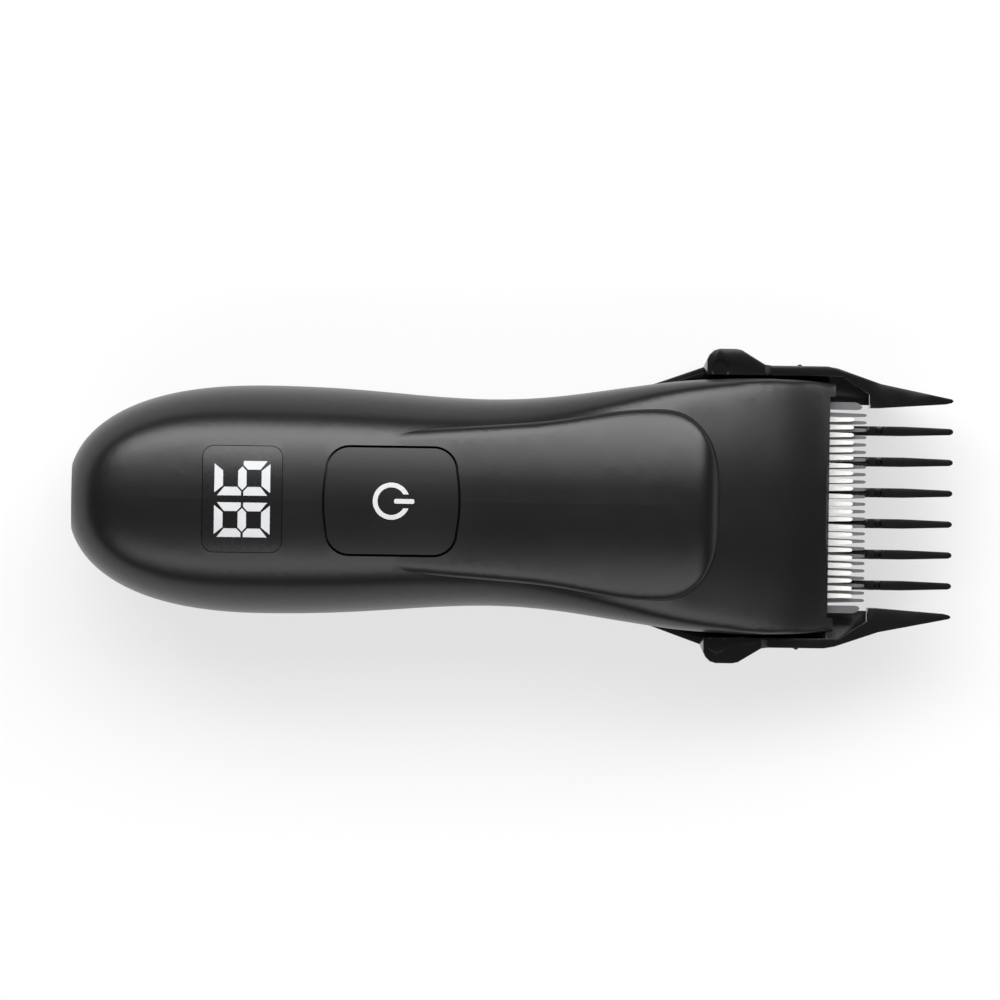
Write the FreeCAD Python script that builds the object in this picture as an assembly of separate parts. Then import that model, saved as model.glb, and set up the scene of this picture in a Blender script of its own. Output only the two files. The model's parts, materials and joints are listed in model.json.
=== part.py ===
import FreeCAD, Part
import math
import os

os.makedirs("parts", exist_ok=True)
V = FreeCAD.Vector

# Cordless hair clipper lying on its back, display up, head towards +X.
# Everything is built with X counted from the tail and moved at the end,
# so that X = 0 is the middle of the whole length.

# ---- overall sizes
body_length = 137.2
body_width = 41.0
body_height = 37.0
waist_width = 37.2
head_width = 46.0
lip_height = 20.2
blade_reach = 5.7
comb_reach = 15.7
wall = 2.0
split_height = 17.0
split_groove = 0.35
groove_depth = 0.6

# ---- display
window_at = 30.9
window_length = 14.2
window_width = 19.0
window_corner = 2.0
window_thickness = 1.6
window_gap = 0.12
ledge = 1.3
digit_height = 10.0
digit_width = 6.2
digit_spacing = 7.45
segment_width = 1.55
segment_gap = 0.42
segment_depth = 0.5

# ---- button
button_at = 57.6
button_length = 24.8
button_width = 19.9
button_corner = 4.4
button_bow = 0.5
button_gap = 0.42
button_rise = 0.4
button_thickness = 3.0
flange_gap = 0.3
seal_gap = 0.15
button_travel = 0.5
icon_radius = 2.9
icon_line = 0.85
icon_depth = 0.5

# ---- electronics
board_thickness = 1.2
board_width = 19.6
board_drop = 8.6
screw_radius = 1.1
screw_head = 2.0
post_radius = 2.6
post_gap = 0.35

# ---- battery and motor
cell_radius = 9.1
cell_length = 50.0
cradle_floor = wall + 0.6
cradle_base = 1.2
cradle_gap = 0.1
motor_radius = 12.1
motor_flat = 18.3
motor_length = 30.5
motor_axis = 18.0
shaft_radius = 1.0
cam_radius = 4.5
cam_length = 7.0
stroke = 1.1
pin_radius = 1.2
pin_length = 5.0
slot_play = 0.25

# ---- blades
blade_level = 14.0
fixed_thick = 1.2
moving_thick = 1.26
blade_fit = 0.03
fixed_half = 19.0
moving_half = 16.65
fixed_teeth = 26
fixed_pitch = 1.334
moving_teeth = 24
moving_pitch = 1.38
moving_short = 2.3

# ---- comb
comb_teeth = 8
comb_pitch = 5.56
prong_width = 1.7
arm_outer = 25.4
arm_inner = 23.65
ear_outer = 28.3

total_length = body_length + blade_reach + comb_reach
stretch = body_length / 137.2
POINTS = 96
SEAM = 16


def at(distance):
    return distance * stretch


# ---- helpers
def box(x0, x1, y0, y1, z0, z1):
    return Part.makeBox(x1 - x0, y1 - y0, z1 - z0, V(x0, y0, z0))


def rod(radius, length, base, axis):
    return Part.makeCylinder(radius, length, base, axis)


def cylinder_z(x, y, z0, z1, radius):
    return rod(radius, z1 - z0, V(x, y, z0), V(0, 0, 1))


def cylinder_x(x0, x1, y, z, radius):
    return rod(radius, x1 - x0, V(x0, y, z), V(1, 0, 0))


def plan_prism(points, z0, z1):
    wire = Part.makePolygon([V(x, y, z0) for x, y in points + points[:1]])
    return Part.Face(wire).extrude(V(0, 0, z1 - z0))


def side_prism(points, y0, y1):
    wire = Part.makePolygon([V(x, y0, z) for x, z in points + points[:1]])
    return Part.Face(wire).extrude(V(0, y1 - y0, 0))


def rounded(cx, cy, length, width, corner, z0, z1, bow=0.0):
    """Rounded rectangle prism whose two end sides are bowed outwards."""
    x1 = length / 2 - bow
    y1 = width / 2
    q = corner * (1 - math.sqrt(0.5))
    edges = []
    for a, b, c in (
        ((x1 - corner, y1), (x1 - q, y1 - q), (x1, y1 - corner)),
        ((x1, corner - y1), (x1 - q, q - y1), (x1 - corner, -y1)),
        ((corner - x1, -y1), (q - x1, q - y1), (-x1, corner - y1)),
        ((-x1, y1 - corner), (q - x1, y1 - q), (corner - x1, y1)),
    ):
        edges.append(Part.Arc(V(*a, 0), V(*b, 0), V(*c, 0)).toShape())
    right = (V(x1, y1 - corner, 0), V(x1 + bow, 0, 0), V(x1, corner - y1, 0))
    left = (V(-x1, corner - y1, 0), V(-x1 - bow, 0, 0), V(-x1, y1 - corner, 0))
    if bow:
        ends = [Part.Arc(*right).toShape(), Part.Arc(*left).toShape()]
    else:
        ends = [Part.makeLine(right[0], right[2]), Part.makeLine(left[0], left[2])]
    low = Part.makeLine(V(x1 - corner, -y1, 0), V(corner - x1, -y1, 0))
    high = Part.makeLine(V(corner - x1, y1, 0), V(x1 - corner, y1, 0))
    wire = Part.Wire([high, edges[0], ends[0], edges[1], low, edges[2], ends[1], edges[3]])
    prism = Part.Face(wire).extrude(V(0, 0, z1 - z0))
    prism.translate(V(cx, cy, z0))
    return prism


def joined(shapes):
    shape = shapes[0]
    if len(shapes) > 1:
        shape = shape.multiFuse(shapes[1:])
    return shape.removeSplitter()


def cut_each(shape, tools):
    for tool in tools:
        shape = shape.cut(tool)
    return shape


def fuse_each(shape, pieces):
    for piece in pieces:
        shape = shape.fuse(piece)
    return shape


def mirrored(shape):
    return shape.mirror(V(0, 0, 0), V(0, 1, 0))


def both(shape):
    return [shape, mirrored(shape)]


def whole(half):
    """A left half and its mirror image as one solid."""
    return half.fuse(mirrored(half))


def save(name, shape):
    if isinstance(shape, list):
        shape = Part.makeCompound(shape)
    placed = shape.copy()
    placed.translate(V(-total_length / 2, 0, 0))
    placed.exportStep("parts/" + name + ".step")


# ---- outer form
def blend(a, b, width):
    overlap = max(width - abs(a - b), 0.0) / width
    return min(a, b) - overlap * overlap * width / 4


def section(x, half, top, bottom, shoulder, square, crown, inset, middle=None):
    """Closed cross-section: a squarish oval whose top is cut by a flatter crown arc."""
    if middle is None:
        middle = (top + bottom) / 2
    across = half - inset
    above = top + shoulder - middle - inset
    below = middle - bottom - inset
    radius = crown - inset
    sunk = radius - (top - inset - middle)
    points = []
    for i in range(POINTS):
        angle = 2 * math.pi * (i - SEAM) / POINTS - math.pi / 2
        c = math.cos(angle)
        n = math.sin(angle)
        reach = (abs(c) ** square + abs(n) ** square) ** (-1 / square)
        y = across * c
        z = (above if n > 0 else below) * n
        if n > 0:
            size = y * y + z * z
            lean = z * sunk
            arc = (math.sqrt(lean * lean + size * (radius * radius - sunk * sunk)) - lean) / size
            length = math.sqrt(size)
            reach = blend(reach * length, arc * length, 1.6) / length
        points.append(V(x, y * reach, middle + z * reach))
    curve = Part.BSplineCurve()
    steps = [i / POINTS for i in range(POINTS + 1)]
    curve.interpolate(Points=points, PeriodicFlag=True, Parameters=steps)
    return Part.Wire([curve.toShape()])


bulb = at(36.0)
head_half = head_width / 2
fall = body_height - lip_height
belly = -0.8
tail_middle = (body_height + belly) / 2
shoulder_rise = 1.5


def tail_section(distance, inset):
    """Rounded tail: the oval shrinks to a small end while the crown line stays high."""
    turn = (bulb - distance) / (bulb + 0.8)
    size = (1 - turn**2.4) ** (1 / 2.4)
    top = body_height - (36.0 - 36.0 * distance / bulb) ** 2 / 160
    low = tail_middle - (tail_middle - belly) * size
    high = tail_middle + (body_height + shoulder_rise - tail_middle) * size
    half = body_width / 2 * size
    x = inset + distance * (bulb - inset) / bulb
    return section(x, half, top, low, high - top, 2.3, 45.0, inset, tail_middle)


# distance from the tail, half width, top, bottom, squareness, crown radius
mains = [
    (44.0, body_width / 2 - 0.15, body_height - 0.25, belly + 0.15, 2.3, 45.0),
    (52.0, body_width / 2 - 0.55, body_height - 0.8, belly + 0.8, 2.3, 45.0),
    (60.0, waist_width / 2 + 0.75, body_height - 1.55, belly + 1.8, 2.3, 46.0),
    (68.0, waist_width / 2 + 0.2, body_height - 2.4, belly + 2.7, 2.35, 48.0),
    (77.0, waist_width / 2, lip_height + fall * 0.815, belly + 3.4, 2.5, 52.0),
    (86.0, waist_width / 2 + 0.55, lip_height + fall * 0.765, belly + 3.9, 2.8, 60.0),
    (94.0, waist_width / 2 + 1.6, lip_height + fall * 0.72, belly + 4.5, 3.2, 70.0),
    (101.0, head_half - 1.75, lip_height + fall * 0.68, belly + 5.4, 3.6, 80.0),
    (108.0, head_half - 0.8, lip_height + fall * 0.63, belly + 7.6, 3.9, 90.0),
    (114.0, head_half - 0.3, lip_height + fall * 0.575, belly + 10.2, 4.0, 95.0),
    (120.0, head_half - 0.05, lip_height + fall * 0.475, belly + 12.6, 4.0, 95.0),
    (126.0, head_half, lip_height + fall * 0.335, belly + 13.9, 4.0, 95.0),
    (132.0, head_half - 0.25, lip_height + fall * 0.155, belly + 14.3, 4.0, 95.0),
    (137.2, head_half - 0.75, lip_height, belly + 14.4, 4.0, 95.0),
]
tail_steps = (0, 0.35, 1.0, 2.0, 3.4, 5.2, 7.6, 10.8, 15.0, 20.0, 26.0, 31.0, 36.0)


def form(inset, nose=0.0, stop=200.0):
    """The whole body, or a smaller copy of it with every wall moved in by inset."""
    wires = [tail_section(at(d), inset) for d in tail_steps]
    for d, half, top, low, square, crown in mains:
        if d <= stop:
            shoulder = shoulder_rise if d < 75 else 0.6
            shoulder = 1.1 if d == 77.0 else shoulder
            wires.append(section(at(d), half, top, low, shoulder, square, crown, inset))
    if nose:
        d, half, top, low, square, crown = mains[-1]
        drop = (mains[-2][2] - top) / (d - mains[-2][0]) * nose * 0.6
        wires.append(section(at(d) + nose, half, top - drop, low, 0.6, square, crown, inset))
    return Part.makeLoft(wires, True, False, False)


tongue_full = 105.0
tongue_end = 117.0
tongue_half = 17.3
# distance, half width, height of the tongue's top
tongue_line = [
    (50.0, 12.4, body_height - 1.1),
    (56.0, 12.7, body_height - 1.45),
    (62.0, 13.1, body_height - 1.75),
    (68.0, 13.5, body_height - 2.1),
    (77.0, 14.1, body_height - 2.6),
    (86.0, 14.9, body_height - 3.0),
    (94.0, 16.2, body_height - 3.35),
    (100.0, 17.1, body_height - 3.6),
    (105.0, tongue_half, body_height - 3.75),
]
tongue_tip = (108.0, 110.5, 112.5, 114.0, 115.2, 116.1, 116.7)


def tongue():
    low = motor_axis + 2.0
    wires = []
    for d, half, top in tongue_line:
        wires.append(section(at(d), half, top, low, 1.0, 5.0, 45.0, 0))
    base = tongue_line[-1][2]
    root = base - 7.2
    for d in tongue_tip:
        u = (d - tongue_full) / (tongue_end - tongue_full)
        half = tongue_half * (1 - u**2.4) ** (1 / 2.4)
        top = root + (base - root - 0.12 * (d - 105) / 3) * (1 - u**4) ** (1 / 2.2)
        wires.append(section(at(d), half, top, low, 1.0, 5.0, 45.0, 0))
    return Part.makeLoft(wires, True, False, False)


body = form(0)
outer = body.fuse(tongue())
floor_cut = box(-10, 200, -50, 50, -20, 0)
outer = outer.cut(floor_cut)
inner = form(wall, 4.0)

lip = at(136.2)
nose_half = head_half - 3.0
outer = outer.cut(box(lip, lip + 20, -nose_half, nose_half, -5, 60))
bevel_top = lip_height + 1.45
bevel = side_prism(
    [(lip - 1.2, bevel_top), (lip + 0.3, bevel_top - 2.2), (lip + 0.3, 60), (lip - 1.2, 60)],
    -nose_half,
    nose_half,
)
outer = outer.cut(bevel)
outer = outer.common(box(-10, body_length + 10, 0, 60, -20, 80))

# ---- openings shared by the two shells
mouth_at = at(117.5)
mouth_half = head_half - 3.2
mouth = box(mouth_at, body_length + 10, -mouth_half, mouth_half, -10, split_height + 3)

port = rounded(0, 0, 9.3, 3.5, 1.7, 0, 30)
port.rotate(V(0, 0, 0), V(0, 1, 0), 90)
port.rotate(V(0, 0, 0), V(1, 0, 0), 90)
port.translate(V(-5, 0, motor_axis))
seat = rounded(0, 0, 11.2, 5.5, 2.4, 0, 3.6)
seat.rotate(V(0, 0, 0), V(0, 1, 0), 90)
seat.rotate(V(0, 0, 0), V(1, 0, 0), 90)
seat.translate(V(wall - 0.3, 0, motor_axis))

window_x = at(window_at)
button_x = at(button_at)
outer_up = 60.0


def window_prism(grow, z0, z1):
    return rounded(
        window_x,
        0,
        window_length + 2 * grow,
        window_width + 2 * grow,
        window_corner + grow,
        z0,
        z1,
    )


def button_prism(grow, z0, z1):
    return rounded(
        button_x,
        0,
        button_length + 2 * grow,
        button_width + 2 * grow,
        button_corner + grow,
        z0,
        z1,
        button_bow,
    )


# ---- levels
board_top = body_height - board_drop + board_thickness
board_low = body_height - board_drop
module_top = body_height - 3.2
cell_axis = cradle_floor + cradle_base + cell_radius

# ---- front shell
upper = box(-10, body_length + 10, -60, 60, split_height, 80)
lower = box(-10, body_length + 10, -60, 60, -10, split_height)
core = form(wall - 0.5, 4.0)
posts = [(at(9.2), 8.2), (at(66.2), button_width / 2 + post_gap + post_radius)]
board_holes = [(window_x - 11.3, 7.0), (window_x + 10.4, 7.0)]

front = outer.common(upper).cut(inner)
bosses = []
for x, y in posts:
    bosses.append(cylinder_z(x, y, split_height, 60, post_radius))
for x, y in board_holes:
    bosses.append(cylinder_z(x, y, board_top, 60, 1.9))
fit_in = [boss.common(core) for boss in bosses]
front = fuse_each(front, fit_in)
groove = box(-10, body_length + 10, -60, 60, split_height, split_height + split_groove)
groove = groove.cut(form(groove_depth, 4.0))
pocket = window_prism(window_gap, 20, outer_up).cut(form(window_thickness, stop=110.0))
cuts = [
    groove,
    pocket,
    window_prism(-ledge, 20, outer_up),
    button_prism(0, 20, outer_up),
    port,
    seat,
]
for x, y in posts:
    cuts.append(cylinder_z(x, y, split_height, split_height + 9.0, screw_radius))
for x, y in board_holes:
    cuts.append(cylinder_z(x, y, board_top, board_top + 2.6, 0.8))
front = cut_each(front, cuts)
save("front_shell", whole(front))

# ---- back shell
back = outer.common(lower).cut(inner)
pads = [
    box(at(24.0), at(24.0) + 3, 0, 7, -5, cradle_floor),
    box(at(47.0), at(47.0) + 3, 0, 7, -5, cradle_floor),
    box(at(100.6), at(100.6) + 3.2, 0, 12, -5, 7.6),
    box(at(3.4), at(11.4), 3.6, 5.0, -5, motor_axis - 2.6),
]
core_pads = [pad.common(core) for pad in pads]
tubes = []
for x, y in posts:
    tubes.append(cylinder_z(x, y, -5, split_height, post_radius).common(core))
back = fuse_each(back, core_pads + tubes)
cuts = [mouth, port, seat]
for x, y in posts:
    cuts.append(cylinder_z(x, y, -5, split_height + 1, screw_radius + 0.2))
    cuts.append(cylinder_z(x, y, -5, 8.0, screw_head + 0.3))
back = cut_each(back, cuts)
save("back_shell", whole(back))

screws = []
for x, y in posts:
    head = cylinder_z(x, y, 6.4, 8.0, screw_head)
    head = head.cut(box(x - 1.3, x + 1.3, y - 0.25, y + 0.25, 6.0, 7.1))
    head = head.cut(box(x - 0.25, x + 0.25, y - 1.3, y + 1.3, 6.0, 7.1))
    screw = head.fuse(cylinder_z(x, y, 8.0, split_height + 7.5, screw_radius - 0.02))
    screws += both(screw)
save("shell_screws", screws)

# ---- display
lens = whole(window_prism(0, 20, outer_up).common(outer).cut(form(window_thickness, stop=110.0)))
half_l = digit_height / 2
half_w = digit_width / 2
w = segment_width
g = segment_gap / 2
mid = w / 2


def segment_shapes():
    """The seven bars of a digit that reads with +X up and -Y to the right."""
    top = [
        (half_l, -half_w + g + 0.3),
        (half_l, half_w - g - 0.3),
        (half_l - w, half_w - w - g),
        (half_l - w, -half_w + w + g),
    ]
    bottom = [(-x, y) for x, y in reversed(top)]
    upper_left = [
        (half_l - 0.3 - g, half_w),
        (g, half_w),
        (g, half_w - mid),
        (mid + g, half_w - w),
        (half_l - w - g, half_w - w),
    ]
    lower_left = [(-x, y) for x, y in reversed(upper_left)]
    upper_right = [(x, -y) for x, y in reversed(upper_left)]
    lower_right = [(-x, -y) for x, y in upper_left]
    middle = [
        (mid - 0.02, half_w - w - g),
        (0, half_w - mid - g),
        (0.02 - mid, half_w - w - g),
        (0.02 - mid, w + g - half_w),
        (0, mid + g - half_w),
        (mid - 0.02, w + g - half_w),
    ]
    return {
        "a": top,
        "b": upper_right,
        "c": lower_right,
        "d": bottom,
        "e": lower_left,
        "f": upper_left,
        "g": middle,
    }


bars = []
deep = form(segment_depth, stop=110.0)
for center, letters in ((digit_spacing / 2, "abcdfg"), (-digit_spacing / 2, "abcdefg")):
    shapes = segment_shapes()
    for letter in letters:
        outline = [(window_x + x, center + y) for x, y in shapes[letter]]
        bars.append(plan_prism(outline, 20, outer_up))
segments = [bar.common(lens).cut(deep) for bar in bars]
save("display_segments", segments)
save("display_window", lens.cut(segments))

module_length = window_length - 2 * ledge - 0.6
module_width = window_width - 2 * ledge - 0.6
module = rounded(window_x, 0, module_length, module_width, 1.0, board_top, module_top)
save("display_module", module)

# ---- main board
board = box(at(15.5), at(64.0), -board_width / 2, board_width / 2, board_low, board_top)
holes = []
for x, y in board_holes:
    holes += both(cylinder_z(x, y, board_low - 1, board_top + 1, 1.1))
board = board.cut(holes)
save("main_board", board)
board_screws = []
for x, y in board_holes:
    head = cylinder_z(x, y, board_low - 1.1, board_low, 1.7)
    head = head.cut(box(x - 1.1, x + 1.1, y - 0.2, y + 0.2, board_low - 2, board_low - 0.6))
    board_screws += both(head.fuse(cylinder_z(x, y, board_low, board_top + 2.4, 0.78)))
save("board_screws", board_screws)
chips = [
    box(window_x - 3.5, window_x + 3.5, -3.5, 3.5, board_low - 1.1, board_low),
    box(button_x - 9, button_x - 4, -6.5, -2.5, board_low - 1.6, board_low),
    cylinder_z(button_x + 0.5, 5.0, board_low - 2.2, board_low, 2.6),
    box(button_x - 8, button_x - 5.5, 3, 6.5, board_low - 0.9, board_low),
]
save("board_parts", chips)

# ---- button
flange_low = form(button_thickness + 0.2, stop=110.0)
flange_high = form(wall + flange_gap, stop=104.0)
front_top = body_height - 2.25 + button_rise
rear_top = body_height - 0.3 + button_rise
length = button_length
crown_radius = 44.0
direction = V(length, 0, front_top - rear_top)
start = V(button_x - length / 2, 0, rear_top - crown_radius) - direction
crown_bar = rod(crown_radius, direction.Length * 3, start, direction)
crown_bar.rotate(start, direction, 180)
cap = button_prism(-button_gap, 20, outer_up).common(crown_bar)
under = form(button_thickness, stop=110.0)
cap = cap.cut(under)
flange = button_prism(0.8, 20, outer_up).common(flange_high).cut(flange_low)
notches = []
for x, y in posts:
    notches += both(cylinder_z(x, y, 0, 60, post_radius + flange_gap))
flange = flange.cut(notches)
cap = cap.fuse(flange)
icon_x = button_x
icon_z = body_height - 8
ring = cylinder_z(icon_x, 0, icon_z, 60, icon_radius + icon_line / 2)
ring = ring.cut(cylinder_z(icon_x, 0, icon_z, 60, icon_radius - icon_line / 2))
ring = ring.cut(box(icon_x, icon_x + 9, -1.25, 1.25, icon_z, 60))
bar = rounded(icon_x + 2.3, 0, 3.6, icon_line, 0.3, icon_z, 60)
sunk_bar = crown_bar.copy()
sunk_bar.translate(V(0, 0, -icon_depth))
tools = [piece.cut(sunk_bar) for piece in (ring, bar)]
icon = [tool.common(cap) for tool in tools]
cap = cap.cut(tools)
save("power_button", cap)
save("power_icon", icon)

button_low = cap.common(cylinder_z(button_x, 0, 20, 60, 2.5)).optimalBoundingBox().ZMin
switch_top = button_low - button_travel - 0.06
switch = box(button_x - 3, button_x + 3, -3, 3, board_top, switch_top - 0.7)
switch = switch.fuse(cylinder_z(button_x, 0, switch_top - 0.7, switch_top, 1.7))
save("tact_switch", switch)
seal_low = board_top
seal_high = button_low - 2.0 - seal_gap
seal = rounded(button_x, 0, button_length - 5, board_width - 3.0, 3.0, seal_low, seal_high)
seal = seal.cut(rounded(button_x, 0, button_length - 7.4, board_width - 5.4, 2.0, 0, 60))
save("button_seal", seal)

# ---- battery
cell_x0 = at(13.0) + wall
cell_x1 = cell_x0 + cell_length * stretch
cell = cylinder_x(cell_x0, cell_x1, 0, cell_axis, cell_radius)
groove_ring = cylinder_x(cell_x1 - 3.4, cell_x1 - 2.6, 0, cell_axis, cell_radius + 1)
groove_ring = groove_ring.cut(cylinder_x(cell_x1 - 4, cell_x1, 0, cell_axis, cell_radius - 0.35))
cell = cell.cut(groove_ring)
button_end = cylinder_x(cell_x1, cell_x1 + 0.8, 0, cell_axis, 2.8)
save("battery_cell", cell.fuse(button_end))
cradle = box(cell_x0 + 0.5, cell_x1 - 0.2, -7.4, 7.4, cradle_floor, cell_axis - 4.0)
cradle = cradle.cut(cylinder_x(cell_x0 - 1, cell_x1 + 1, 0, cell_axis, cell_radius + 0.02))
cradle = cradle.common(form(wall + cradle_gap, stop=110.0))
save("battery_cradle", cradle)
tabs = [
    box(cell_x0 - 0.25, cell_x0, -3, 3, cell_axis - 3, cell_axis + 8),
    box(cell_x1 + 0.8, cell_x1 + 1.05, -3, 3, cell_axis - 3, cell_axis + 8),
]
save("battery_tabs", tabs)


def wire_run(points, radius):
    pieces = []
    for a, b in zip(points, points[1:]):
        start = V(*a)
        run = V(*b) - start
        pieces.append(rod(radius, run.Length, start, run))
        pieces.append(Part.makeSphere(radius, V(*b)))
    return joined(pieces[:-1])


tail_tab = cell_x0 - 0.25
nose_tab = cell_x1 + 1.05
wire = 0.6


def lead(x, y, z, knee, pad_x):
    """A wire that rises from a tab at x, turns at the knee and ends under the board at pad_x."""
    return wire_run([(x, y, z), (x, y, knee), (pad_x, y, board_low - wire)], wire)


leads = [
    lead(tail_tab - wire, 1.5, cell_axis + 5, board_low - 3, at(17.2)),
    lead(nose_tab + wire, -1.5, cell_axis + 5, board_low - 3, at(61.5)),
]
save("battery_leads", leads)

# ---- motor
motor_front = at(101.0)
motor_rear = motor_front - motor_length
can = cylinder_x(motor_rear + 4.0, motor_front, 0, motor_axis, motor_radius)
can = can.common(box(0, 200, -20, 20, motor_axis - motor_flat / 2, motor_axis + motor_flat / 2))
can = can.fuse(cylinder_x(motor_front, motor_front + 1.6, 0, motor_axis, 3.1))
bore = cylinder_x(motor_rear, motor_front + 5, 0, motor_axis, shaft_radius + 0.03)
holes = both(cylinder_x(motor_front - 2.5, motor_front + 1, 8.0, motor_axis, 0.98))
can = can.cut([bore] + holes)
save("motor_can", can)
cap_end = cylinder_x(motor_rear, motor_rear + 4.0, 0, motor_axis, motor_radius - 0.5)
slim = motor_flat / 2 - 0.5
cap_end = cap_end.common(box(0, 200, -20, 20, motor_axis - slim, motor_axis + slim))
cap_end = cap_end.cut(bore)
save("motor_cap", cap_end)
shaft = cylinder_x(motor_rear + 1.0, motor_front + 9.8, 0, motor_axis, shaft_radius)
save("motor_shaft", shaft)
sleeve_x = motor_rear + 8.0
sleeve = cylinder_x(sleeve_x, sleeve_x + 7, 0, motor_axis, motor_radius + 1.4)
tall = motor_flat / 2 + 1.4
sleeve = sleeve.common(box(0, 200, -20, 20, motor_axis - tall, motor_axis + tall))
hollow = cylinder_x(sleeve_x - 1, sleeve_x + 8, 0, motor_axis, motor_radius)
flat = motor_flat / 2
hollow = hollow.common(box(0, 200, -20, 20, motor_axis - flat, motor_axis + flat))
save("motor_sleeve", sleeve.cut(hollow))
plate_x = motor_front
plate_t = 2.4
mount = box(plate_x, plate_x + plate_t, -15.5, 15.5, 7.6, 27.0)
mount = mount.common(form(wall + 0.4))
mount = mount.cut([cylinder_x(plate_x - 1, plate_x + 4, 0, motor_axis, 3.2)])
mount = mount.cut(both(cylinder_x(plate_x - 1, plate_x + 4, 8.0, motor_axis, 1.2)))
save("motor_mount", mount)
motor_screws = []
for screw in both(cylinder_x(plate_x - 2.0, plate_x + plate_t, 8.0, motor_axis, 0.95)):
    y = screw.BoundBox.Center.y
    head = cylinder_x(plate_x + plate_t, plate_x + plate_t + 1.2, y, motor_axis, 1.9)
    motor_screws.append(screw.fuse(head))
save("motor_screws", motor_screws)
motor_leads = [
    lead(motor_rear - wire, y, motor_axis + 4.5, board_low - 2.2, at(62.3)) for y in (-5.0, 5.0)
]
save("motor_leads", motor_leads)

cam_x = motor_front + 3.2
hub = cylinder_x(cam_x, cam_x + cam_length, 0, motor_axis, cam_radius)
hub = hub.cut(cylinder_x(cam_x - 1, cam_x + 6.6, 0, motor_axis, shaft_radius))
pin = cylinder_x(cam_x + cam_length, cam_x + cam_length + pin_length, 0, motor_axis + stroke, pin_radius)
save("eccentric_cam", hub.fuse(pin))

# ---- blades
fixed_top = blade_level + fixed_thick
moving_low = fixed_top + blade_fit
moving_top = moving_low + moving_thick
tips = body_length + blade_reach
root = lip - 0.2
ear_tip = tips - 0.8
fixed_rear = mouth_at + 1.1


def tooth(x0, x1, y, wide, narrow):
    return [
        (x0, y + wide / 2),
        (x1 - 0.4, y + narrow / 2),
        (x1 - 0.1, y + narrow / 3),
        (x1, y),
        (x1 - 0.1, y - narrow / 3),
        (x1 - 0.4, y - narrow / 2),
        (x0, y - wide / 2),
    ]


def row(count, pitch, x0, x1, wide, narrow):
    points = []
    for i in range(count):
        y = ((count - 1) / 2 - i) * pitch
        points += tooth(x0, x1, y, wide, narrow)
    return points


ear_in = (fixed_teeth - 1) / 2 * fixed_pitch + 0.95
ear_points = [
    (fixed_rear, fixed_half),
    (ear_tip - 1.3, fixed_half),
    (ear_tip - 0.9, fixed_half - 0.1),
    (ear_tip - 0.4, fixed_half - 0.35),
    (ear_tip - 0.1, fixed_half - 0.75),
    (ear_tip, ear_in + 0.45),
    (ear_tip - 0.3, ear_in + 0.12),
    (ear_tip - 0.8, ear_in),
    (root, ear_in),
]
teeth = row(fixed_teeth, fixed_pitch, root, tips, 0.98, 0.55)
outline = ear_points + teeth + [(x, -y) for x, y in reversed(ear_points)]
fixed = plan_prism(outline, blade_level, fixed_top)
screw_x = fixed_rear + 2.7
screw_y = 12.0
fixed = fixed.cut(both(cylinder_z(screw_x, screw_y, 0, 30, 1.25)))
save("fixed_blade", fixed)

moving_rear = fixed_rear + 7.6
moving_tip = tips - moving_short
moving_root = lip - 1.4
teeth = row(moving_teeth, moving_pitch, moving_root, moving_tip, 0.98, 0.66)
corner = [(moving_rear, moving_half), (moving_root, moving_half)]
outline = corner + teeth + [(x, -y) for x, y in reversed(corner)]
moving = plan_prism(outline, moving_low, moving_top)
peg_x = moving_rear + 3.2
moving = moving.cut(both(cylinder_z(peg_x, 6.0, 0, 30, 0.9)))
save("moving_blade", moving)

yoke_top = moving_top + 2.0
fork_x = cam_x + cam_length + 1.0
slot_half = pin_radius + slot_play
slot_high = stroke + pin_radius + 0.35
pad = box(moving_rear + 0.8, moving_root - 0.8, -9, 9, moving_top, yoke_top)
arm = box(fork_x, moving_rear + 1.5, -3, 3, moving_top + 0.4, yoke_top)
fork = box(fork_x, fork_x + 3.8, -4.3, 4.3, motor_axis - 4.4, motor_axis + 4.4)
slot = box(fork_x - 1, fork_x + 5.0, -slot_half, slot_half, motor_axis - slot_high, motor_axis + slot_high)
yoke = joined([pad, arm, fork]).cut(slot)
pegs = both(cylinder_z(peg_x, 6.0, moving_low + 0.3, moving_top, 0.9))
yoke = yoke.fuse(pegs)
save("drive_yoke", yoke)

holder_x0 = fixed_rear
rail_in = moving_half + stroke + 0.45
beam_low = yoke_top + 0.7
side_block = box(holder_x0, moving_rear - 0.8, 8.0, mouth_half, fixed_top, beam_low)
rail = box(holder_x0, lip - 0.8, rail_in, mouth_half, fixed_top, fixed_top + 1.5)
beam = box(holder_x0, holder_x0 + 3.2, -mouth_half, mouth_half, beam_low, beam_low + 2.2)
beam = beam.common(form(wall + 0.3))
holder = joined(both(side_block) + both(rail) + [beam])
holder = holder.cut(both(cylinder_z(screw_x, screw_y, 0, beam_low, 1.0)))
save("blade_holder", holder)
blade_screws = []
for y in (-screw_y, screw_y):
    head = cylinder_z(screw_x, y, blade_level - 1.1, blade_level, 2.2)
    head = head.cut(box(screw_x - 1.4, screw_x + 1.4, y - 0.3, y + 0.3, 0, blade_level - 0.6))
    blade_screws.append(head.fuse(cylinder_z(screw_x, y, blade_level, beam_low - 0.6, 0.98)))
save("blade_screws", blade_screws)
spring_t = 0.35
spring_line = [
    (holder_x0 + 0.3, beam_low),
    (holder_x0 + 3.4, beam_low),
    (moving_rear + 3.0, yoke_top + 0.05 + spring_t),
    (moving_rear + 5.4, yoke_top + 0.05 + spring_t),
]
spring_under = [(x, z - spring_t) for x, z in reversed(spring_line)]
save("blade_spring", side_prism(spring_line + spring_under, -2.5, 2.5))

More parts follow.
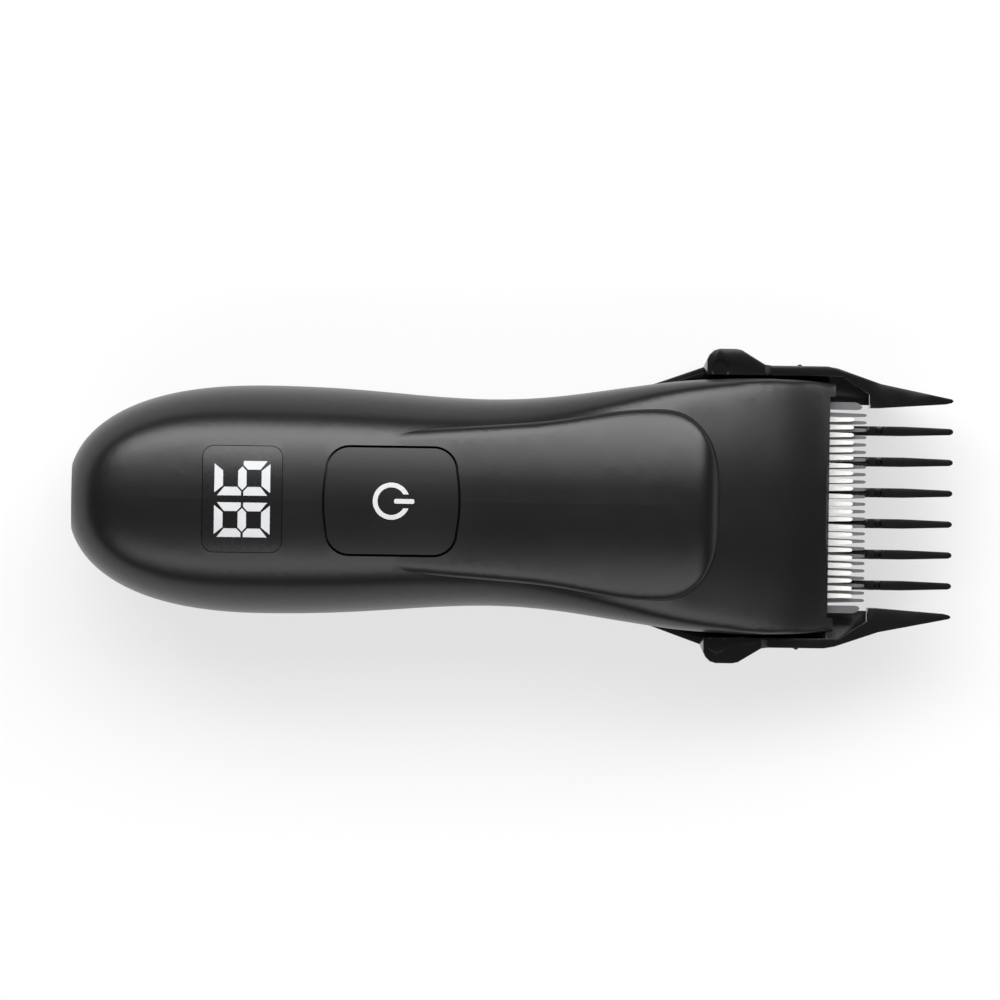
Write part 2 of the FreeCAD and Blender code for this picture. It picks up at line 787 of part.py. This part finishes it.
# ---- charging socket
socket_x0 = 2.6
socket_x1 = 9.8
shell_out = rounded(0, 0, 8.9, 3.2, 1.5, 0, socket_x1 - socket_x0)
shell_in = rounded(0, 0, 8.3, 2.6, 1.25, -1, socket_x1 - socket_x0 - 1.0)
socket = shell_out.cut(shell_in)
gasket = rounded(0, 0, 10.6, 4.9, 2.2, 0, 1.2)
gasket = gasket.cut(rounded(0, 0, 8.9, 3.2, 1.5, -1, 3))
for piece in (socket, gasket):
    piece.rotate(V(0, 0, 0), V(0, 1, 0), 90)
    piece.rotate(V(0, 0, 0), V(1, 0, 0), 90)
socket.translate(V(socket_x0, 0, motor_axis))
gasket.translate(V(socket_x0 + 0.2, 0, motor_axis))
save("charging_socket", socket)
save("socket_gasket", gasket)
insert = box(socket_x1 - 5.4, socket_x1 - 1.0, -3.3, 3.3, motor_axis - 0.35, motor_axis + 0.35)
save("socket_insert", insert)
charge = box(at(3.4) + 0.6, at(11.6), -5.2, 5.2, motor_axis - 2.6, motor_axis - 1.6)
save("charge_board", charge)

# ---- guide comb
tip_x = total_length
under_line = [
    (tip_x - 37.0, 4.6),
    (tip_x - 34.5, 1.6),
    (tip_x - 31.5, 0.3),
    (tip_x - 29.0, 0.0),
    (tip_x - 21.5, 0.0),
    (tip_x - 18.0, 0.5),
    (tip_x - 14.0, 2.0),
    (tip_x - 10.0, 4.5),
    (tip_x - 6.0, 7.8),
    (tip_x - 2.6, 11.0),
    (tip_x - 0.6, 13.1),
    (tip_x, 14.2),
]
front_line = [
    (tip_x - 0.1, 14.8),
    (tip_x - 0.6, 15.2),
    (tip_x - 5.0, 15.9),
    (tip_x - 12.3, 16.6),
    (tip_x - 12.9, 16.3),
    (tip_x - 13.1, 14.0),
    (tip_x - 13.8, 14.0),
    (tip_x - 14.0, 16.9),
    (tip_x - 15.2, 16.9),
    (tip_x - 15.2, blade_level - 0.8),
    (tip_x - 34.4, blade_level - 0.8),
    (tip_x - 37.0, 9.6),
]
half_prong = prong_width / 2
prong_plan = [
    (tip_x - 37.0, -half_prong),
    (tip_x - 9.0, -half_prong),
    (tip_x - 0.7, -half_prong * 0.68),
    (tip_x - 0.2, -half_prong * 0.42),
    (tip_x, 0),
    (tip_x - 0.2, half_prong * 0.42),
    (tip_x - 0.7, half_prong * 0.68),
    (tip_x - 9.0, half_prong),
    (tip_x - 37.0, half_prong),
]
prong = side_prism(under_line + front_line, -4, 4).common(plan_prism(prong_plan, -1, 30))
combs = []
for i in range(1, comb_teeth - 1):
    copy = prong.copy()
    copy.translate(V(0, (i - (comb_teeth - 1) / 2) * comb_pitch, 0))
    combs.append(copy)

last = (comb_teeth - 1) / 2 * comb_pitch
arm_plan = [
    (tip_x - 54.2, arm_outer - 3.6),
    (tip_x - 45.2, arm_outer - 0.4),
    (tip_x - 44.2, ear_outer - 1.1),
    (tip_x - 43.4, ear_outer - 0.3),
    (tip_x - 42.4, ear_outer),
    (tip_x - 39.4, ear_outer),
    (tip_x - 38.4, ear_outer - 0.2),
    (tip_x - 34.2, arm_outer + 0.15),
    (tip_x - 33.0, arm_outer),
    (tip_x - 23.0, arm_outer),
    (tip_x - 21.0, arm_outer - 0.35),
    (tip_x - 13.2, last + 2.9),
    (tip_x - 1.4, last + 0.55),
    (tip_x - 0.4, last + 0.35),
    (tip_x, last),
    (tip_x - 0.4, last - 0.35),
    (tip_x - 1.4, last - 0.6),
    (tip_x - 13.6, last - 1.45),
    (tip_x - 15.1, last - 1.45),
    (tip_x - 15.1, last + 0.9),
    (tip_x - 17.4, last + 2.3),
    (tip_x - 20.2, arm_inner),
    (tip_x - 45.8, arm_inner),
    (tip_x - 54.2, arm_inner - 2.8),
]
arm_side = [
    (tip_x - 54.2, 7.6),
    (tip_x - 46.0, 6.0),
    (tip_x - 40.0, 2.6),
    (tip_x - 36.0, 0.8),
    (tip_x - 32.0, 0.1),
] + under_line[3:]
arm_side += [
    (tip_x - 0.1, 14.8),
    (tip_x - 0.6, 15.2),
    (tip_x - 5.0, 16.0),
    (tip_x - 12.5, 16.9),
    (tip_x - 22.0, 17.6),
    (tip_x - 33.0, 17.8),
    (tip_x - 34.2, 19.2),
    (tip_x - 44.6, 19.2),
    (tip_x - 45.2, 12.4),
    (tip_x - 54.2, 10.6),
]
arm_piece = plan_prism(arm_plan, -1, 30).common(side_prism(arm_side, 10, 40))
dish = cylinder_z(tip_x - 42.2, arm_outer - 0.6, 18.5, 30, 1.6)
bead = cylinder_z(tip_x - 27.9, arm_outer - 0.15, 2.0, 16.0, 0.45)
arm_piece = arm_piece.cut(dish).fuse(bead)
combs += both(arm_piece)
web_plan = [
    (tip_x - 54.0, arm_inner - 2.5),
    (tip_x - 45.8, arm_inner + 0.4),
    (tip_x - 20.4, arm_inner + 0.4),
    (tip_x - 17.6, last + 2.6),
    (tip_x - 15.2, last + 1.2),
    (tip_x - 15.2, last - 0.9),
    (tip_x - 21.0, last - 0.9),
    (tip_x - 26.0, last + 0.8),
    (tip_x - 54.0, last + 0.8),
]
combs += both(plan_prism(web_plan, 7.7, 9.0))
reach_y = arm_inner + 0.6
combs.append(box(tip_x - 37.0, tip_x - 33.6, -reach_y, reach_y, 5.2, 9.4))
combs.append(box(tip_x - 24.6, tip_x - 22.2, -reach_y, reach_y, 8.8, 11.2))
save("guide_comb", joined(combs))
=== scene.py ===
import json
import math

import bpy
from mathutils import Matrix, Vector

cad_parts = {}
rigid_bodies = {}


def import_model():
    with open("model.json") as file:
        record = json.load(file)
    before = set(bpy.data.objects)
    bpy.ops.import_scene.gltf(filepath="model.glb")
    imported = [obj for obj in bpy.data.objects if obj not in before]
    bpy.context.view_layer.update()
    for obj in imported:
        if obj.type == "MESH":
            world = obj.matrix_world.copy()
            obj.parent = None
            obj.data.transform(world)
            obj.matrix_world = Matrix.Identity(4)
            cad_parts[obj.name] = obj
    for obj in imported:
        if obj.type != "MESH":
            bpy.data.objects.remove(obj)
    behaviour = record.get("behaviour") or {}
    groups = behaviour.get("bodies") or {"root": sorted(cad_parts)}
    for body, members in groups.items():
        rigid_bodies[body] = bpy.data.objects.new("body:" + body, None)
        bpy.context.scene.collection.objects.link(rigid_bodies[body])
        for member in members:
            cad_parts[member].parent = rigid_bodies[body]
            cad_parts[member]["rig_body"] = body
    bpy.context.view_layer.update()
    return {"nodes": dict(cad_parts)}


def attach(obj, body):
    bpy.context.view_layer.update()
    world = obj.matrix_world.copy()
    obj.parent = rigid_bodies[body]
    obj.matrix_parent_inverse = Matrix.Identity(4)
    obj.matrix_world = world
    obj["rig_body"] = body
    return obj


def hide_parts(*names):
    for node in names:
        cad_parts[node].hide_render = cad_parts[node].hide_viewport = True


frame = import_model()
MM = 0.001


# ---------------------------------------------------------------- small helpers
def srgb(code):
    """A hex colour as the eye sees it, turned into the linear value that a shader wants."""
    values = []
    for i in (0, 2, 4):
        c = int(code[i:i + 2], 16) / 255
        values.append(c / 12.92 if c <= 0.04045 else ((c + 0.055) / 1.055) ** 2.4)
    return (*values, 1.0)


def add(tree, kind, settings=None, inputs=None):
    """Adds one node: settings are its own options, inputs are values or links for its sockets."""
    node = tree.nodes.new(kind)
    for name, value in (settings or {}).items():
        setattr(node, name, value)
    for name, value in (inputs or {}).items():
        if isinstance(value, bpy.types.NodeSocket):
            tree.links.new(value, node.inputs[name])
        else:
            node.inputs[name].default_value = value
    return node


def start(name):
    """A new material: itself, its tree, its surface shader and object coordinates in mm."""
    material = bpy.data.materials.new(name)
    material.use_nodes = True
    tree = material.node_tree
    tree.nodes.clear()
    place = add(tree, "ShaderNodeTexCoord").outputs["Object"]
    scaled = add(tree, "ShaderNodeMapping", {"vector_type": "POINT"},
                 {"Vector": place, "Scale": (1 / MM, 1 / MM, 1 / MM)})
    shader = add(tree, "ShaderNodeBsdfPrincipled")
    add(tree, "ShaderNodeOutputMaterial", None, {"Surface": shader.outputs["BSDF"]})
    return material, tree, shader, scaled.outputs["Vector"]


# ---------------------------------------------------------------- materials
def soft_touch_paint():
    """ABS sprayed with soft-touch polyurethane: a near-black that spreads highlights wide."""
    material, tree, shader, mm = start("soft_touch_painted_abs")
    peel_width, grain_width, handled_width = 1 / 1.1, 0.25, 1 / 0.045  # mm across
    peel_depth, grain_depth = 0.04 * MM, 0.03 * MM
    # spray orange peel, the matting agent's grain at twice its real width, and wear from handling
    peel = add(tree, "ShaderNodeTexNoise", None,
               {"Vector": mm, "Scale": 1 / peel_width, "Detail": 2.0, "Roughness": 0.5})
    grain = add(tree, "ShaderNodeTexNoise", None,
                {"Vector": mm, "Scale": 1 / grain_width, "Detail": 3.0, "Roughness": 0.6})
    handled = add(tree, "ShaderNodeTexNoise", None,
                  {"Vector": mm, "Scale": 1 / handled_width, "Detail": 3.0, "Roughness": 0.55})
    tone = add(tree, "ShaderNodeValToRGB", None, {"Fac": handled.outputs["Fac"]})
    fresh, worn = tone.color_ramp.elements
    fresh.position, fresh.color = 0.35, srgb("070708")
    worn.position, worn.color = 0.7, srgb("0a0a0b")
    tree.links.new(tone.outputs["Color"], shader.inputs["Base Color"])
    rough = add(tree, "ShaderNodeMapRange", None,
                {"Value": handled.outputs["Fac"], "From Min": 0.3, "From Max": 0.7,
                 "To Min": 0.28, "To Max": 0.32})
    fine = add(tree, "ShaderNodeMath", {"operation": "MULTIPLY_ADD"},
               {0: grain.outputs["Fac"], 1: 0.06, 2: rough.outputs["Result"]})
    tree.links.new(fine.outputs["Value"], shader.inputs["Roughness"])
    shader.inputs["IOR"].default_value = 1.42
    low = add(tree, "ShaderNodeBump", None,
              {"Strength": 0.12, "Distance": peel_depth, "Height": peel.outputs["Fac"]})
    high = add(tree, "ShaderNodeBump", None,
               {"Strength": 0.35, "Distance": grain_depth, "Height": grain.outputs["Fac"],
                "Normal": low.outputs["Normal"]})
    tree.links.new(high.outputs["Normal"], shader.inputs["Normal"])
    return material


def gloss_moulded_abs():
    """Black ABS from a polished mould: deep black, mirror-like with a little waviness."""
    material, tree, shader, mm = start("gloss_moulded_abs")
    wave_width, wave_depth = 4.0, 0.05 * MM  # mm across, metres deep
    flow = add(tree, "ShaderNodeTexNoise", None,
               {"Vector": mm, "Scale": 1 / wave_width, "Detail": 3.0, "Distortion": 0.8})
    tone = add(tree, "ShaderNodeMix", {"data_type": "RGBA"},
               {"Factor": flow.outputs["Fac"], "A": srgb("050505"), "B": srgb("0a0a0a")})
    tree.links.new(tone.outputs["Result"], shader.inputs["Base Color"])
    rough = add(tree, "ShaderNodeMapRange", None,
                {"Value": flow.outputs["Fac"], "To Min": 0.14, "To Max": 0.22})
    tree.links.new(rough.outputs["Result"], shader.inputs["Roughness"])
    shader.inputs["IOR"].default_value = 1.54
    bump = add(tree, "ShaderNodeBump", None,
               {"Strength": 0.15, "Distance": wave_depth, "Height": flow.outputs["Fac"]})
    tree.links.new(bump.outputs["Normal"], shader.inputs["Normal"])
    return material


def plain_material(name, colour, second, roughness, scale,
                   metal=0.0, depth=0.03 * MM, ior=1.5, sub=0.0, stretch=(1, 1, 1)):
    """Moulded, plated or printed stock: two close tones, a changing roughness and a fine grain.

    scale is how many grains there are to a millimetre, depth how deep they are in metres, sub how
    much light spreads inside, and an axis of stretch under 1 draws the grain out along it.
    """
    material, tree, shader, mm = start(name)
    cloud_width = 1 / 0.15  # mm across
    spread = (1.2 * MM, 1.0 * MM, 0.9 * MM)  # how far red, green and blue travel inside
    turned = add(tree, "ShaderNodeMapping", None, {"Vector": mm, "Scale": stretch})
    grain = add(tree, "ShaderNodeTexNoise", None,
                {"Vector": turned.outputs["Vector"], "Scale": scale, "Detail": 4.0,
                 "Roughness": 0.6})
    cloud = add(tree, "ShaderNodeTexNoise", None,
                {"Vector": mm, "Scale": 1 / cloud_width, "Detail": 2.0})
    tone = add(tree, "ShaderNodeMix", {"data_type": "RGBA"},
               {"Factor": cloud.outputs["Fac"], "A": srgb(colour), "B": srgb(second)})
    tree.links.new(tone.outputs["Result"], shader.inputs["Base Color"])
    rough = add(tree, "ShaderNodeMapRange", None,
                {"Value": grain.outputs["Fac"],
                 "To Min": roughness * 0.8, "To Max": roughness * 1.2})
    tree.links.new(rough.outputs["Result"], shader.inputs["Roughness"])
    shader.inputs["Metallic"].default_value = metal
    if not metal:
        shader.inputs["IOR"].default_value = ior
    if sub:
        shader.inputs["Subsurface Weight"].default_value = sub
        shader.inputs["Subsurface Radius"].default_value = spread
    bump = add(tree, "ShaderNodeBump", None,
               {"Strength": 0.4, "Distance": depth, "Height": grain.outputs["Fac"]})
    tree.links.new(bump.outputs["Normal"], shader.inputs["Normal"])
    return material


soft_touch = soft_touch_paint()
gloss_abs = gloss_moulded_abs()
# an anti-glare face: almost black, reflections soft but a little sharper than the paint's
smoked_acrylic = plain_material("smoked_acrylic", "060607", "0a0a0c", 0.27, 2.0,
                                ior=1.49, depth=0.002 * MM)
# a milky light guide: pale grey, light spreads a little inside it
light_guide = plain_material("diffusing_polycarbonate", "a4a5a7", "b0b1b3", 0.45, 2.0,
                             ior=1.58, sub=0.1)
# sintered and ground: clean white and glassy, with a faint grind along the teeth
zirconia = plain_material("ground_zirconia", "c4c4c2", "d2d1ce", 0.28, 3.0,
                          ior=2.1, stretch=(0.3, 3, 3))
# mid grey metal, its highlights broken by a grind across the teeth
ground_steel = plain_material("ground_stainless_steel", "8f9092", "a3a4a6", 0.32, 3.0,
                              metal=1.0, stretch=(4, 0.3, 1))
# tumbled and plated: a bright, slightly blue grey metal
zinc_steel = plain_material("zinc_plated_steel", "a9abae", "bdbfc2", 0.3, 2.5, metal=1.0)
# drawn and tempered: a darker straw-grey metal, with drawing lines along it
spring_steel = plain_material("tempered_spring_steel", "7d7a72", "94908a", 0.35, 2.5,
                              metal=1.0, stretch=(0.4, 3, 3))
# a warm grey metal, the shiniest of the plated ones
nickel = plain_material("nickel_plate", "b7b1a6", "c8c2b8", 0.22, 2.0, metal=1.0)
# charcoal rubber with a dry, dull face
silicone = plain_material("moulded_silicone", "232325", "2b2b2d", 0.6, 2.5, ior=1.41)
# structural mouldings: dull, with the glass fibres' fine speckle
nylon_black = plain_material("glass_filled_nylon_black", "161617", "1d1d1f", 0.5, 3.0)
nylon_grey = plain_material("glass_filled_nylon_grey", "5b5d60", "67696c", 0.5, 3.0)
# a creamy, waxy white that light enters a little
acetal = plain_material("natural_acetal", "dedcd4", "e8e6df", 0.38, 1.5, ior=1.48, sub=0.1)
# the chips' packages: charcoal with a sandy, matt face
epoxy_black = plain_material("moulding_epoxy", "18181a", "222224", 0.55, 5.0)
# wire sheaths: smooth and softly shining
pvc_red = plain_material("pvc_wire_red", "a31515", "b42020", 0.4, 2.0, sub=0.03)
pvc_black = plain_material("pvc_wire_black", "151516", "1d1d1f", 0.4, 2.0)
# a shiny green board, with the faint swell of the weave and copper under the mask
solder_mask = plain_material("solder_mask_on_glass_epoxy", "0d4a28", "125a32", 0.3, 0.6,
                             depth=0.06 * MM)
# a tight blue sleeve with long soft wrinkles
shrink_wrap = plain_material("pvc_shrink_wrap", "1c5c94", "2568a3", 0.25, 0.4, depth=0.08 * MM)

finishes = {
    "front_shell": soft_touch,
    "back_shell": soft_touch,
    "power_button": soft_touch,
    "power_icon": light_guide,
    "button_seal": silicone,
    "display_window": smoked_acrylic,
    "display_segments": light_guide,
    "display_module": epoxy_black,
    "main_board": solder_mask,
    "board_parts": epoxy_black,
    "board_screws": zinc_steel,
    "tact_switch": epoxy_black,
    "battery_cell": shrink_wrap,
    "battery_cradle": nylon_grey,
    "battery_tabs": nickel,
    "battery_leads": pvc_red,
    "motor_can": zinc_steel,
    "motor_cap": acetal,
    "motor_shaft": zinc_steel,
    "motor_sleeve": silicone,
    "motor_leads": pvc_black,
    "motor_mount": nylon_grey,
    "motor_screws": zinc_steel,
    "eccentric_cam": acetal,
    "drive_yoke": acetal,
    "blade_holder": nylon_black,
    "blade_spring": spring_steel,
    "blade_screws": zinc_steel,
    "fixed_blade": ground_steel,
    "moving_blade": zirconia,
    "guide_comb": gloss_abs,
    "charging_socket": nickel,
    "socket_insert": epoxy_black,
    "socket_gasket": silicone,
    "charge_board": solder_mask,
    "shell_screws": zinc_steel,
}
for name, material in finishes.items():
    mesh = frame["nodes"][name].data
    mesh.materials.clear()
    mesh.materials.append(material)


# ---------------------------------------------------------------- the piece with worked edges
def edge_worked(node, name, width, segments):
    """A copy of a CAD piece with its triangles joined into faces and its sharp edges rounded."""
    weld, same_plane, sharp, smooth = 0.002 * MM, 1.0, 28.0, 35.0  # metres, then degrees
    source = frame["nodes"][node]
    piece = bpy.data.objects.new(name, source.data.copy())
    bpy.context.scene.collection.objects.link(piece)
    bpy.ops.object.select_all(action="DESELECT")
    bpy.context.view_layer.objects.active = piece
    piece.select_set(True)
    bpy.ops.object.mode_set(mode="EDIT")
    bpy.ops.mesh.select_all(action="SELECT")
    bpy.ops.mesh.customdata_custom_splitnormals_clear()
    bpy.ops.mesh.remove_doubles(threshold=weld)
    bpy.ops.mesh.dissolve_limited(angle_limit=math.radians(same_plane))
    bpy.ops.object.mode_set(mode="OBJECT")
    bevel = piece.modifiers.new("edge", "BEVEL")
    bevel.width = width
    bevel.segments = segments
    bevel.limit_method = "ANGLE"
    bevel.angle_limit = math.radians(sharp)
    bevel.use_clamp_overlap = True
    bevel.harden_normals = False
    bpy.ops.object.modifier_apply(modifier="edge")
    bpy.ops.object.shade_smooth_by_angle(angle=math.radians(smooth))
    piece.data.materials.clear()
    piece.data.materials.append(finishes[node])
    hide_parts(node)
    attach(piece, source["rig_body"])


edge_worked("guide_comb", "comb_rounded", 0.28 * MM, 3)

# ---------------------------------------------------------------- floor, light and camera
# a hair under the rest face, so that the two never share a plane
bpy.ops.mesh.primitive_plane_add(size=30.0, location=(0, 0, -0.02 * MM))
floor = bpy.context.object
floor.name = "floor"
# an opal acrylic sheet with a light box under it, which keeps the shadows pale
table, _, opal, _ = start("opal_acrylic_table")
opal.inputs["Base Color"].default_value = srgb("747474")
opal.inputs["Roughness"].default_value = 0.9
opal.inputs["Emission Color"].default_value = (1, 1, 1, 1)
opal.inputs["Emission Strength"].default_value = 0.66
floor.data.materials.append(table)

world = bpy.data.worlds.new("room")
bpy.context.scene.world = world
world.use_nodes = True
# a dim room to the object, behind which the camera sees a pale backdrop
sky = world.node_tree
sky.nodes["Background"].inputs["Color"].default_value = (1, 1, 1, 1)
looked_at = add(sky, "ShaderNodeLightPath").outputs["Is Camera Ray"]
room_light = add(sky, "ShaderNodeMapRange", None,
                 {"Value": looked_at, "To Min": 0.14, "To Max": 0.85})
sky.links.new(room_light.outputs["Result"], sky.nodes["Background"].inputs["Strength"])


def softbox(name, place, size, radiance):
    """A flat softbox that faces the object; radiance is its front's brightness, a white being 1."""
    middle = Vector((0, 0, 15 * MM))
    light = bpy.data.lights.new(name, "AREA")
    light.shape = "RECTANGLE"
    light.size, light.size_y = size
    light.energy = radiance * math.pi * size[0] * size[1]
    lamp = bpy.data.objects.new(name, light)
    bpy.context.scene.collection.objects.link(lamp)
    lamp.location = place
    lamp.rotation_euler = (middle - Vector(place)).to_track_quat("-Z", "Y").to_euler()
    lamp.visible_camera = False


# long boxes beside the handle draw its broad highlights, and the dark between them its crown
softbox("key_softbox", (0.0, 0.42, 0.46), (1.3, 0.26), 9.0)
softbox("key_spill", (0.0, 0.27, 0.60), (1.3, 0.16), 3.6)
softbox("fill_softbox", (0.0, -0.42, 0.48), (1.3, 0.28), 3.0)

# straight above, from far enough off to look almost flat, turned a little with the object
camera = bpy.data.cameras.new("camera")
camera.lens = 600
camera.sensor_width = 36
camera.clip_start = 0.01
view_point = bpy.data.objects.new("camera", camera)
bpy.context.scene.collection.objects.link(view_point)
frame_width = 180 * MM
mid_height = 18 * MM
centre_x, centre_y, roll = -2.26 * MM, 0.49 * MM, math.radians(0.83)
view_distance = frame_width * camera.lens / camera.sensor_width
view_point.location = (centre_x, centre_y, mid_height + view_distance)
view_point.rotation_euler = (0, 0, roll)
bpy.context.scene.camera = view_point
bpy.context.scene.view_settings.view_transform = "Standard"
